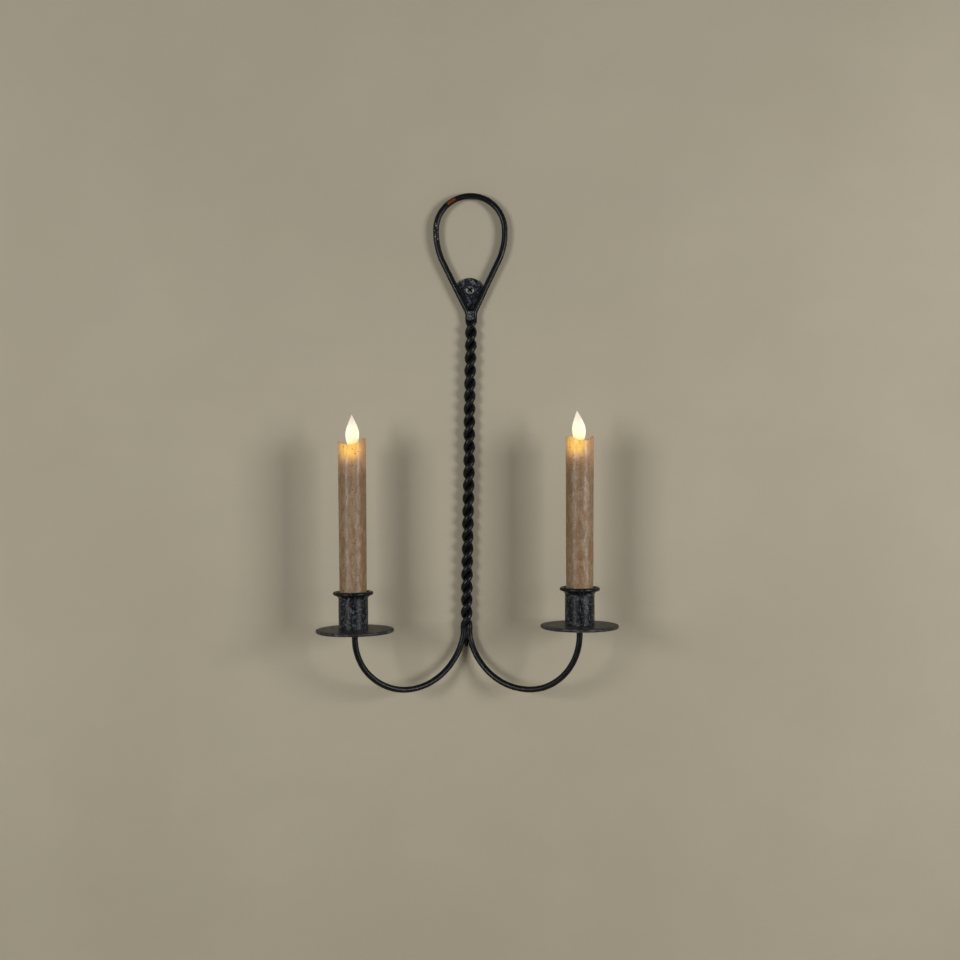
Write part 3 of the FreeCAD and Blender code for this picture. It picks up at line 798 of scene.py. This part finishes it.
def drip_pan(side, seed):
    """Hammered disc with a soft rounded edge and a countersunk hole."""
    hole = 1.6 * MM
    sink = 3.1 * MM
    edge_drop = 0.35 * MM
    corners = [(hole, -1.5 * MM, 0), (hole, pan_low.z, 0.2 * MM), (pan_radius, pan_low.z, 0.9 * MM),
               (pan_radius, -edge_drop, 0.8 * MM), (pan_radius - 3 * MM, 0, 3 * MM),
               (sink, 0, 0.2 * MM), (hole, hole - sink, 0)]
    mesh = turned(side + "_pan_forged", rounded(corners, 0.6 * MM), 260)
    for v in mesh.vertices:
        share = Vector((v.co.x, v.co.y, 0)).length / pan_radius
        bend = noise.noise(Vector((v.co.x, v.co.y, seed * MM)) / (24 * MM))
        v.co.z += bend * 0.16 * MM * share ** 3
        v.co.xy *= 1 + 0.004 * noise.noise(v.co / (14 * MM) + Vector((seed, 0, 0)))
    mesh.update()
    roughened(mesh, 0.13 * MM, hammered(3.6 * MM, seed))
    piece(side + "_pan_forged", mesh, "sconce", pan_iron(side),
          [side + "_drip_pan"], holders[side].pan_place)


def pan_iron(side):
    """Black paint browned in patches, warm grey on the flat and blue-grey round the edge as painted
    reflection and light, with a dark brown line along the crest.
    """
    holder = holders[side]
    s = Forged(side + "_pan_iron", 0.25, 1.1 * MM, 9 * MM)
    # Painted reflection and light: the same paint is warm grey on the flat, where it takes the warm wax
    # and wall, and blue-grey round the edge that faces the room.
    top = s.tones(s.height, 0.38, 0.68, (0.008, 0.008, 0.0075), (0.046, 0.044, 0.039))
    top = s.tones(s.broad, 0.46, 0.64, top, (0.028, 0.022, 0.0135), 0.6)
    edge = s.tones(s.height, 0.42, 0.68, (0.009, 0.0105, 0.0135), (0.05, 0.058, 0.07))
    centre = holder.pan_place.translation
    level = s.along(holder.axis, centre)
    colour = s.tones(level, -0.35 * MM, -0.8 * MM, top, edge)
    # A dark brown line along the upper part of the edge.
    crest = s.times(s.span(s.away(centre), pan_radius - 2.4 * MM, pan_radius - 1.0 * MM),
                    s.span(level, -1.1 * MM, -0.5 * MM))
    crest = s.times(crest, s.span(s.broad, 0.42, 0.56, 0.1, 0.9))
    colour = s.blend(crest, colour, (0.022, 0.0105, 0.005))
    colour = s.tones(s.rubbed, 0.62, 0.7, colour, (0.12, 0.13, 0.135), 0.8)
    return s.finish(colour, s.span(s.fine, 0.35, 0.65, 0.34, 0.55), s.lumps, 0.07 * MM)


def candle_cup(side, seed):
    """Rolled sheet with a flared mouth; its two edges meet at the front, not quite flush."""
    inner = cup_radius - cup_wall
    lip = rim_radius - 0.6 * rim_wire
    lip_z = rim_z - 1.0 * rim_wire
    corners = [(inner, 0.05 * MM, 0), (inner, 24.2 * MM, 1.5 * MM), (lip - 0.5 * MM, lip_z + 0.4 * MM, 0),
               (lip, lip_z, 0), (cup_radius, 24.0 * MM, 1.5 * MM), (cup_radius, 0.05 * MM, 0.1 * MM),
               (inner, 0.05 * MM, 0)]
    profile = rounded(corners, 0.55 * MM)[:-1]
    half_gap = 0.16 * MM / cup_radius
    mesh = turned(side + "_cup_forged", profile, 130, start=FRONT + half_gap,
                  sweep=2 * math.pi - 2 * half_gap)
    for v in mesh.vertices:
        angle = (math.atan2(v.co.y, v.co.x) - FRONT) % (2 * math.pi)
        out = Vector((v.co.x, v.co.y, 0)).normalized()
        step = 0.2 * MM * math.exp(-angle / 0.25)
        dent = noise.noise(v.co / (9 * MM) + Vector((seed, 0, 0))) * 0.12 * MM
        v.co += out * (step + dent)
    mesh.update()
    roughened(mesh, 0.07 * MM, hammered(2.4 * MM, seed))
    look = iron(side + "_cup_iron", (0.008, 0.0105, 0.0155), (0.21, 0.235, 0.27), 0.63, 0.12)
    piece(side + "_cup_forged", mesh, "sconce", look,
          [side + "_candle_cup"], holders[side].place)


def cup_rim(side, seed):
    """Wire ring on the flare, its rounded ends butted at the front."""
    half_gap = 0.2 * MM / rim_radius
    start = FRONT + half_gap + math.radians(-1.5 if side == "left" else 4)
    sweep = 2 * math.pi - 2 * half_gap
    count = 190
    segments = 22
    rows = []
    for i in range(count + 1):
        angle = start + sweep * i / count
        out = ray(angle)
        from_end = min(i, count - i) * rim_radius * sweep / count
        soft = min(1, from_end / (0.5 * MM))
        radius = rim_wire * (0.8 + 0.2 * math.sqrt(1 - (1 - soft) ** 2))
        waver = noise.noise(out * 1.3 + Vector((seed, 0, 0))) * 0.25 * MM
        centre = out * (rim_radius + waver * 0.6) + UP * (rim_z + waver)
        rows.append(ring(centre, out, UP, radius, segments))
    mesh = skin(side + "_rim_forged", rows, capped=True)
    roughened(mesh, 0.08 * MM, hammered(2.4 * MM, seed))
    look = iron(side + "_rim_iron", (0.007, 0.0085, 0.0115), (0.11, 0.12, 0.135), 0.7, 0.3)
    piece(side + "_rim_forged", mesh, "sconce", look,
          [side + "_cup_rim"], holders[side].place)


# ---- Taper: wax and flame ----
wax_low, wax_high = upright.box("wax_sleeve")
wax_peak_z = max(holder.box("wax_sleeve")[1].z for holder in holders.values())
wax_points = [upright.place.inverted() @ p for p in node_points("right_wax_sleeve")]
wax_foot = slab(wax_points, wax_low.z - 0.1 * MM, wax_low.z + 0.1 * MM)
wax_bottom_radius = (wax_foot[1].x - wax_foot[0].x) / 2
wax_top_radius = wax_high.x
wax_bore = 8.9 * MM
recess_z = upright.box("flame_holder")[1].z + 0.1 * MM
rim_slope = math.tan(math.radians(6))
rim_dip = 5.4 * MM
rim_dip_radius = 12 * MM
rim_dip_x = {"left": -1.6 * MM, "right": 1.4 * MM}
glow_x = {"left": -0.8 * MM, "right": -4.0 * MM}


def rim_height(side, x, y):
    """Height of the melted rim over a place on the candle."""
    plane = wax_peak_z - (wax_top_radius - x) * rim_slope
    across = x - rim_dip_x[side]
    bowl = wax_peak_z - rim_dip + rim_dip_radius
    bowl -= math.sqrt(max(0, rim_dip_radius ** 2 - across ** 2))
    soft = 0.5 * MM
    lower = -soft * math.log(math.exp(-plane / soft) + math.exp(-bowl / soft))
    ripple = noise.noise(Vector((x, y, 0)) / (3.5 * MM) + Vector((SIDES[side], 0, 0)))
    return lower + 0.3 * MM * ripple


def wax_taper(side):
    """Hollow taper with a wavy melted rim, a flared mouth and slightly uneven sides."""
    lip = 0.75 * MM
    segments = 128
    rise = 150                        # points up the outside
    inside = 12                       # points down the bore
    rows = []
    for k in range(segments):
        angle = 2 * math.pi * k / segments
        out = ray(angle)
        top = rim_height(side, out.x * wax_top_radius * 0.93, out.y * wax_top_radius * 0.93)
        corners = [(wax_bore, wax_low.z, 0), (wax_bottom_radius, wax_low.z, 0.6 * MM),
                   (wax_top_radius, top, lip), (wax_top_radius - 1.6 * MM, top, lip)]
        profile = rounded(corners[:3], 1.0)[:-1]
        wall = profile[-1]
        for i in range(1, rise):
            share = i / rise
            profile.append(wall.lerp(Vector((wax_top_radius, top - lip)), share))
        head = rounded([(wax_top_radius, top - lip, 0), *corners[2:4],
                        (wax_bore + 0.15 * MM, recess_z + (top - recess_z) * 0.3, 0)], 1.0)
        profile += head
        for i in range(1, 6):
            profile.append(head[-1].lerp(Vector((wax_bore, recess_z)), i / 5))
        for i in range(1, inside):
            profile.append(Vector((wax_bore, recess_z + (wax_low.z - recess_z) * i / inside)))
        rows.append([out * p.x + UP * p.y for p in profile])
    mesh = skin(side + "_wax_taper", rows, rows_closed=True)
    for v in mesh.vertices:
        flat = Vector((v.co.x, v.co.y, 0))
        if flat.length > wax_bore + 0.3 * MM:
            flute = noise.noise(Vector((v.co.x / (5 * MM), v.co.y / (5 * MM),
                                        v.co.z / (45 * MM) + SIDES[side] * 3)))
            v.co += flat.normalized() * flute * 0.2 * MM
    mesh.update()
    roughened(mesh, 0.1 * MM, wax_height(side))
    piece(side + "_wax_taper", mesh, side + "_candle", wax(side),
          [side + "_wax_sleeve"], holders[side].place)


def wax_height(side):
    """Height of rustic wax: soft lumps drawn out along the candle."""
    def height(p):
        place = Vector((p.x, p.y, p.z * 0.45)) / (2.4 * MM) + Vector((SIDES[side] * 7, 0, 0))
        return 0.5 + 0.45 * noise.fractal(place, 0.9, 2.1, 3)
    return height


def wax(side):
    """Taupe-brown wax with rusty mottling and dark specks, and a painted glow near the flame that stands
    for the flame's light in the wax.
    """
    holder = holders[side]
    s = Surface(side + "_wax", specular=0.62)
    s.set("Subsurface Weight", 0.1)
    s.set("Subsurface Radius", (1.0, 0.5, 0.25))
    s.set("Subsurface Scale", 2.2 * MM)
    relief = s.relief()
    broad = s.clouds(8 * MM, 3, (1, 1, 2.2))
    streaks = s.clouds(2.2 * MM, 4, (1, 1, 3.5))
    fine = s.clouds(0.8 * MM, 3)
    colour = s.tones(streaks, 0.35, 0.65, (0.24, 0.15, 0.08), (0.35, 0.24, 0.145))
    colour = s.tones(broad, 0.46, 0.62, colour, (0.25, 0.125, 0.048), 0.7)
    colour = s.tones(relief, 0.5, 0.8, colour, (0.42, 0.3, 0.19), 0.5)
    colour = s.tones(fine, 0.53, 0.65, colour, (0.14, 0.07, 0.028), 0.7)
    distance, tone = s.spots(2.3 * MM)
    picked = s.node("ShaderNodeSeparateColor")
    s.feed(picked.inputs["Color"], tone)
    size = s.span(picked.outputs["Red"], 0.3, 1.0, 0.0, 0.24)
    speck = s.maths("LESS_THAN", distance, size)
    colour = s.blend(s.times(speck, 0.8), colour, (0.06, 0.03, 0.015))
    pale_distance, _ = s.spots(1.7 * MM)
    colour = s.tones(pale_distance, 0.2, 0.1, colour, (0.46, 0.35, 0.25), 0.4)
    # Painted glow: emission over the top of the wax, strongest round a point in front just under the
    # flame, stands for the flame's light in the wax.
    lamp = holder.at(glow_x[side], -wax_bottom_radius, holder.flame_z + 1.5 * MM)
    dim = s.times(s.span(holder.level(s, holder.flame_z), -24 * MM, 4 * MM), 0.38)
    bright = s.times(s.near(lamp, 15 * MM, 0.12), s.span(streaks, 0.2, 0.8, 0.7, 1.15))
    glow = s.times(s.plus(dim, bright), s.maths("SUBTRACT", 1.0, s.times(speck, 0.6)))
    s.set("Emission Color", s.tones(glow, 0.25, 1.2, (0.84, 0.42, 0.2), (1.0, 0.56, 0.07)))
    s.set("Emission Strength", s.times(glow, 0.62))
    rough = s.span(s.plus(fine, relief), 0.7, 1.3, 0.56, 0.42)
    return s.finish(colour, rough, s.plus(s.times(streaks, 0.6), s.times(fine, 0.7)), 0.09 * MM)


def flame_outline():
    """Half widths and heights of the flame above its wire, as (half width, height) points."""
    low, high = holders["left"].box("flame", holders["left"].flame_place)
    tip = high.z
    half = (high.x - low.x) / 2
    wide = 13.2 * MM
    bulb = interpolate_bezier((1.7 * MM, 3.3 * MM), (3.9 * MM, 4.0 * MM),
                              (half, wide - 4.6 * MM), (half, wide), 14)
    spire = interpolate_bezier((half, wide), (half, wide + 4.3 * MM),
                               (1.9 * MM, tip - 3.8 * MM), (0.12 * MM, tip), 26)
    tail = [Vector((1.7 * MM, low.z)), Vector((1.7 * MM, 0)), Vector((1.6 * MM, 2.6 * MM))]
    return [Vector(p[:2]) for p in tail + bulb + spire[1:]]


def flame_blade(side):
    """Thin moulded flame with a rounded teardrop blade over a flat tail."""
    low, high = holders[side].box("flame", holders[side].flame_place)
    half_thickness = (high.y - low.y) / 2
    widest = (high.x - low.x) / 2
    outline = flame_outline()
    segments = 40
    rows = []
    for p in outline:
        share = p.x / widest
        thick = half_thickness * (0.45 + 0.55 * share) if p.y > 3 * MM else 0.7 * MM
        if share < 0.3 and p.y > 15 * MM:
            thick = half_thickness * share / 0.3 * 0.615
        lean = 0.35 * MM * math.sin(p.y / (9 * MM))
        turns = [2 * math.pi * k / segments for k in range(segments)]
        rows.append([Vector((p.x * math.cos(a) + lean, thick * math.sin(a), p.y)) for a in turns])
    mesh = skin(side + "_flame_blade", rows, capped=True)
    roughened(mesh, 0.05 * MM, hammered(2.5 * MM, 21))
    piece(side + "_flame_blade", mesh, side + "_flame_unit", flame_light(side),
          [side + "_flame"], holders[side].flame_place)


def flame_light(side):
    """Frosted plastic lit from below: yellow at the foot, cream in the middle, pale at the tip."""
    holder = holders[side]
    s = Surface(side + "_flame_light")
    axis = holder.flame_place.to_3x3() @ UP
    height = s.along(axis, holder.flame_place.translation)
    streaks = s.clouds(1.1 * MM, 3, (1, 1, 6))
    height = s.plus(height, s.times(streaks, 2.5 * MM))
    colour = s.tones(height, 5 * MM, 9.5 * MM, (1.0, 0.72, 0.16), (1.0, 0.93, 0.52))
    colour = s.tones(height, 9 * MM, 16 * MM, colour, (1.0, 0.96, 0.68))
    s.set("Emission Color", s.tones(height, 17 * MM, 27 * MM, colour, (0.95, 0.78, 0.66)))
    s.set("Emission Strength", s.times(s.span(height, 17 * MM, 28 * MM, 0.8, 0.62),
                                       s.span(streaks, 0.3, 0.7, 0.9, 1.06)))
    unlit = s.tones(streaks, 0.3, 0.7, (0.42, 0.4, 0.33), (0.5, 0.47, 0.4))
    return s.finish(unlit, 0.4, streaks, 0.08 * MM)


# ---- Taper: the pieces inside, which keep their CAD shapes ----
def plastic(name, colour, roughness):
    """Moulded plastic: fine spark-eroded grain, slow tone changes and rubbed patches."""
    s = Surface(name)
    grain = s.clouds(0.35 * MM, 2)
    broad = s.clouds(6 * MM, 3)
    pale = tuple(min(1, c * 1.35 + 0.01) for c in colour)
    dark = tuple(c * 0.75 for c in colour)
    tone = s.tones(broad, 0.35, 0.65, dark, colour)
    tone = s.tones(grain, 0.55, 0.75, tone, pale, 0.5)
    rough = s.span(broad, 0.3, 0.7, roughness - 0.08, roughness + 0.1)
    return s.finish(tone, rough, grain, 0.04 * MM)


def bare_metal(name, colour, tarnish, roughness):
    """Plain metal with fine scratches and a little tarnish."""
    s = Surface(name, metallic=1.0)
    scratches = s.clouds(0.9 * MM, 4, (1, 1, 7))
    broad = s.clouds(3 * MM, 3)
    tone = s.tones(broad, 0.45, 0.68, colour, tarnish, 0.7)
    rough = s.span(scratches, 0.3, 0.7, roughness - 0.1, roughness + 0.14)
    return s.finish(tone, rough, scratches, 0.02 * MM)


def battery_case(side, node):
    """Printed sleeve with a plain band and steel ends."""
    holder = holders[side]
    low, high = holder.box(node)
    length = high.z - low.z
    s = Surface(side + "_" + node + "_case", metallic=0.6)
    height = holder.level(s, low.z)
    scratches = s.clouds(0.8 * MM, 4, (1, 1, 5))
    broad = s.clouds(5 * MM, 3)
    sleeve = s.tones(broad, 0.3, 0.7, (0.018, 0.02, 0.026), (0.035, 0.038, 0.046))
    band = s.tones(scratches, 0.3, 0.7, (0.42, 0.3, 0.13), (0.55, 0.42, 0.2))
    steel = s.tones(scratches, 0.3, 0.7, (0.45, 0.45, 0.46), (0.62, 0.62, 0.62))
    colour = s.tones(height, length * 0.72, length * 0.722, sleeve, band)
    ends = s.plus(s.span(height, 0.8 * MM, 0.6 * MM),
                  s.span(height, length - 1.9 * MM, length - 1.7 * MM))
    rough = s.span(scratches, 0.3, 0.7, 0.25, 0.45)
    return s.finish(s.blend(ends, colour, steel), rough, scratches, 0.02 * MM)


def solder_mask():
    """Green board with fine copper tracks under the mask."""
    s = Surface("solder_mask")
    tracks, _ = s.spots(1.4 * MM)
    fine = s.clouds(0.5 * MM, 3)
    colour = s.tones(fine, 0.3, 0.7, (0.012, 0.09, 0.035), (0.02, 0.13, 0.05))
    colour = s.tones(tracks, 0.42, 0.46, colour, (0.07, 0.26, 0.09), 0.7)
    return s.finish(colour, s.span(fine, 0.3, 0.7, 0.28, 0.42), tracks, 0.04 * MM)


def wound_copper(side):
    """Enamelled wire in even turns round the bobbin, with painted shade in the grooves between the turns.
    """
    s = Surface(side + "_wound_copper", metallic=0.9)
    height = holders[side].level(s, 0)
    turns = s.maths("SINE", s.times(height, 2 * math.pi / (0.3 * MM)))
    fine = s.clouds(1.5 * MM, 3)
    # Painted shade: darker in the grooves between the turns, plain copper on their crowns.
    colour = s.tones(turns, -1, 0.6, (0.16, 0.05, 0.02), (0.72, 0.32, 0.14))
    colour = s.tones(fine, 0.45, 0.7, colour, (0.5, 0.2, 0.09), 0.5)
    return s.finish(colour, s.span(fine, 0.3, 0.7, 0.25, 0.4), turns, 0.1 * MM)


def lamp_resin(side):
    """Clear resin lamp, lit in its dome."""
    holder = holders[side]
    s = Surface(side + "_lamp_resin")
    height = holder.level(s, holder.box("led")[1].z - 7 * MM)
    fine = s.clouds(0.8 * MM, 2)
    legs = (0.55, 0.55, 0.56)
    s.set("Base Color", s.tones(height, 0, MM, legs, (0.9, 0.75, 0.45)))
    s.set("Emission Color", s.tones(fine, 0.3, 0.7, (1.0, 0.6, 0.2), (1.0, 0.75, 0.35)))
    s.set("Emission Strength", s.span(height, 0, 3 * MM, 0, 3.0))
    s.set("Roughness", s.span(fine, 0.3, 0.7, 0.1, 0.22))
    return s.material


def dress(side, nodes, material):
    """Give CAD nodes of one side a finish."""
    for node in nodes:
        part = frame["nodes"][side + "_" + node]
        part.data.materials.clear()
        part.data.materials.append(material)


def dress_inside(side):
    cream = plastic(side + "_cream_plastic", (0.55, 0.46, 0.34), 0.5)
    dark = plastic(side + "_dark_plastic", (0.035, 0.033, 0.032), 0.5)
    brass = bare_metal(side + "_spring_brass", (0.72, 0.5, 0.2), (0.3, 0.17, 0.07), 0.3)
    steel = bare_metal(side + "_flame_wire_steel", (0.6, 0.6, 0.6), (0.3, 0.29, 0.27), 0.3)
    nickel = bare_metal(side + "_magnet_nickel", (0.7, 0.7, 0.69), (0.45, 0.43, 0.4), 0.2)
    zinc = bare_metal(side + "_pan_screw_zinc", (0.5, 0.5, 0.49), (0.2, 0.19, 0.18), 0.38)
    dress(side, ["core_tube", "flame_holder", "coil_bobbin"], cream)
    dress(side, ["battery_carrier", "switch_body", "switch_slider"], dark)
    dress(side, ["base_cap"], plastic(side + "_cap_plastic", (0.16, 0.11, 0.07), 0.55))
    dress(side, ["top_contact", "return_strip", "contact_spring"], brass)
    dress(side, ["flame_wire"], steel)
    dress(side, ["flame_magnet"], nickel)
    dress(side, ["pan_screw"], zinc)
    dress(side, ["circuit_board"], solder_mask())
    dress(side, ["coil_winding"], wound_copper(side))
    dress(side, ["led"], lamp_resin(side))
    for node in ("lower_battery", "upper_battery"):
        dress(side, [node], battery_case(side, node))


for number, each_side in enumerate(SIDES):
    drip_pan(each_side, 31 + 4 * number)
    candle_cup(each_side, 32 + 4 * number)
    cup_rim(each_side, 33 + 4 * number)
    wax_taper(each_side)
    flame_blade(each_side)
    dress_inside(each_side)


# ---- Stage, light and camera ----
def wall_paint():
    """Pale greige wall paint, lightly mottled; its back isn't seen, so that the part's back is."""
    s = Surface("wall_paint", specular=0.25)
    broad = s.clouds(220 * MM, 3)
    brushed = s.clouds(30 * MM, 4, (2.5, 1, 1))
    fine = s.clouds(1.6 * MM, 3)
    colour = s.tones(broad, 0.3, 0.7, (0.49, 0.445, 0.345), (0.53, 0.485, 0.38))
    colour = s.tones(brushed, 0.35, 0.65, colour, (0.5, 0.455, 0.36), 0.35)
    wall = s.finish(colour, s.span(fine, 0.3, 0.7, 0.7, 0.85), fine, 0.12 * MM)
    mix = s.node("ShaderNodeMixShader")
    s.feed(mix.inputs["Fac"], s.node("ShaderNodeNewGeometry").outputs["Backfacing"])
    s.feed(mix.inputs[1], s.shader.outputs["BSDF"])
    s.feed(mix.inputs[2], s.node("ShaderNodeBsdfTransparent").outputs["BSDF"])
    s.feed(s.tree.nodes["Material Output"].inputs["Surface"], mix.outputs["Shader"])
    return wall


def stage():
    """Wall and floor in one sheet, joined by a round cove."""
    half_width = 3.0
    wall_top = 2.2
    floor_z = -0.95
    floor_front = -4.0
    cove = 0.25
    corners = [(0, wall_top, 0), (0, floor_z, cove), (floor_front, floor_z, 0)]
    line = rounded(corners, 0.25)
    rows = [[Vector((x, p.x, p.y)) for p in line] for x in (half_width, 0, -half_width)]
    mesh = skin("backdrop", rows, ring_closed=False)
    mesh.shade_smooth()
    mesh.materials.append(wall_paint())
    backdrop = shown("backdrop", mesh)
    if mesh.polygons[0].normal.y > 0:
        mesh.flip_normals()


def soft_light(name, azimuth, elevation, distance, size, power, colour):
    """Square area light aimed at the middle of the part; azimuth is from the room's side."""
    target = middle(cad_box)
    a, e = math.radians(azimuth), math.radians(elevation)
    aim = Vector((math.sin(a) * math.cos(e), -math.cos(a) * math.cos(e), math.sin(e)))
    light = bpy.data.lights.new(name, "AREA")
    light.size = size
    light.energy = power
    light.color = colour
    lamp = shown(name, light)
    lamp.location = target + aim * distance
    lamp.rotation_mode = "QUATERNION"
    lamp.rotation_quaternion = aim.to_track_quat("Z", "Y")


def surroundings():
    """Even pale room light, shown brighter behind the stage than it shines."""
    world = bpy.data.worlds.new("room")
    world.use_nodes = True
    tree = world.node_tree
    tree.nodes.clear()
    out = tree.nodes.new("ShaderNodeOutputWorld")
    mix = tree.nodes.new("ShaderNodeMixShader")
    shining = ((0.95, 0.98, 1.0, 1), 0.1)
    seen = ((0.5, 0.47, 0.4, 1), 0.62)
    for socket, (colour, strength) in zip(mix.inputs[1:], (shining, seen)):
        light = tree.nodes.new("ShaderNodeBackground")
        light.inputs["Color"].default_value = colour
        light.inputs["Strength"].default_value = strength
        tree.links.new(light.outputs["Background"], socket)
    path = tree.nodes.new("ShaderNodeLightPath")
    tree.links.new(path.outputs["Is Camera Ray"], mix.inputs["Fac"])
    tree.links.new(mix.outputs["Shader"], out.inputs["Surface"])
    bpy.context.scene.world = world


def camera():
    """Level camera a little above the middle of the candles, as the photograph shows the part."""
    data = bpy.data.cameras.new("camera")
    data.sensor_width = 36
    data.lens = 43.1
    data.clip_start = 0.01
    data.clip_end = 50
    shot = shown("camera", data)
    shot.location = (8.2 * MM, -940 * MM, -155 * MM)
    shot.rotation_euler = (math.pi / 2, 0, 0)
    bpy.context.scene.camera = shot


stage()
warm_white = (1.0, 0.985, 0.96)
cool_white = (0.96, 0.98, 1.0)
soft_light("soft_right", 49, 3, 1.5, 0.46, 10.2, warm_white)
soft_light("soft_left", -40, 3, 1.5, 0.46, 8.2, warm_white)
soft_light("soft_back", 188, 0, 1.8, 0.8, 7.0, cool_white)
surroundings()
camera()
bpy.context.scene.view_settings.view_transform = "Standard"
